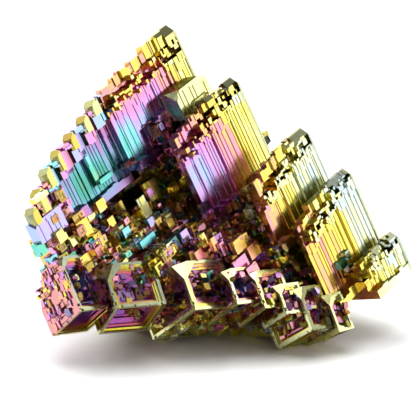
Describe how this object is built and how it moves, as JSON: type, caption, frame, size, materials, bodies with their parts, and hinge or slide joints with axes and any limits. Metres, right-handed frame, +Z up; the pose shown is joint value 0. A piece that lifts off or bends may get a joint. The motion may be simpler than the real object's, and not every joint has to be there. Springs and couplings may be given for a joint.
{
  "type": "bismuth hopper crystal",
  "caption": "Loose bismuth specimen: tall stepped hopper fins side by side, a front row of skeletal cubes and a druse between them, grown together as one piece.",
  "frame": {"origin": "middle of the bounding box's bottom, on the surface that the specimen rests on", "axes": "+X to the right along the row of fins, +Y to the back, +Z up; the skeletal cubes face -Y"},
  "size_m": [0.0698, 0.0443, 0.052],
  "materials": {
    "oxide_film": "native bismuth, mirror bright, under a thin oxide film whose thickness colours it yellow, orange, magenta, violet, blue and green"
  },
  "bodies": {
    "root": {"bismuth_crystal": "oxide_film"}
  },
  "joints": []
}
